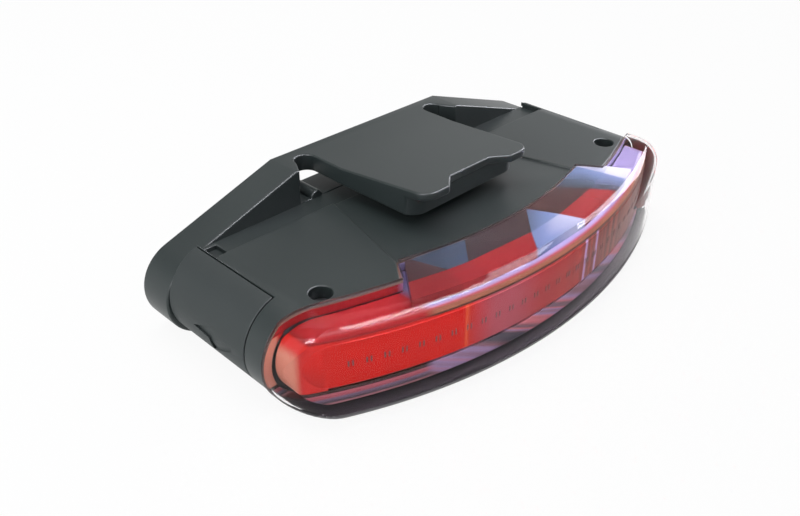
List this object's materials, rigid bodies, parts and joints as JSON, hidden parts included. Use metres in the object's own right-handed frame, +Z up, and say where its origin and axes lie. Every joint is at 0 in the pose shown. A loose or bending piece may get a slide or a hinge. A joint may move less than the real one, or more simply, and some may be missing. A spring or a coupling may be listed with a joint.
{
  "type": "bicycle rear light",
  "caption": "Compact rear bicycle light with a curved clear lens over a red light bar, rounded ends, a rubber port cover, a side button and a sprung latch tongue over a bracket slot.",
  "frame": {"origin": "middle of the light's length and depth, on the plane it rests on", "axes": "+X to the right-hand end, -Y the way the lens faces, +Y to the arched back, +Z up"},
  "size_m": [0.084, 0.044, 0.0207],
  "materials": {
    "housing": "satin moulded nylon",
    "cover_rubber": "soft matte rubber",
    "button_rubber": "soft matte rubber",
    "lens": "clear polished polycarbonate",
    "seal": "soft seal",
    "carrier": "red moulded plastic",
    "light_bar": "translucent red plastic",
    "reflector": "vacuum metallised facets",
    "strip_board": "white solder mask",
    "led": "phosphor chip",
    "ribbon": "polyimide film",
    "board": "green solder mask",
    "chip": "black moulded plastic",
    "steel": "plated steel",
    "contact": "plated brass",
    "cell": "foil pouch",
    "foam": "closed cell foam",
    "lead": "insulated wire",
    "plunger": "moulded plastic"
  },
  "bodies": {
    "light": {"rear_frame": "housing", "main_housing": "housing", "frame_seal": "seal", "lens_cover": "lens", "lens_seal": "seal", "lens_carrier": "carrier", "light_bar": "light_bar", "reflector": "reflector", "led_strip": "strip_board", "leds": "led", "led_ribbon": "ribbon", "main_board": "board", "board_chips": "chip", "charge_socket": "steel", "socket_tongue": "chip", "socket_contacts": "contact", "battery_cell": "cell", "battery_pad": "foam", "battery_leads": "lead", "button_boot": "cover_rubber", "switch_body": "chip", "carrier_screws": "steel", "frame_screws": "steel", "board_screws": "steel"},
    "tongue": {"latch_tongue": "housing"},
    "cover": {"port_cover": "cover_rubber"},
    "button": {"power_button": "button_rubber", "switch_plunger": "plunger"}
  },
  "joints": [
    {"name": "tongue_flex", "type": "hinge", "parent": "light", "child": "tongue", "pos_m": [0, 0.01795, 0.0193], "axis": [-1, 0, 0], "range_deg": [0, 6], "stiffness_Nm_per_rad": 1.5},
    {"name": "port_cover_hinge", "type": "hinge", "parent": "light", "child": "cover", "pos_m": [-0.03629, 0.007, 0.00098], "axis": [0, -1, 0], "range_deg": [0, 90]},
    {"name": "button_press", "type": "slide", "parent": "light", "child": "button", "axis": [-1, 0, 0], "range_m": [0, 0.0006], "stiffness_N_per_m": 3000}
  ]
}
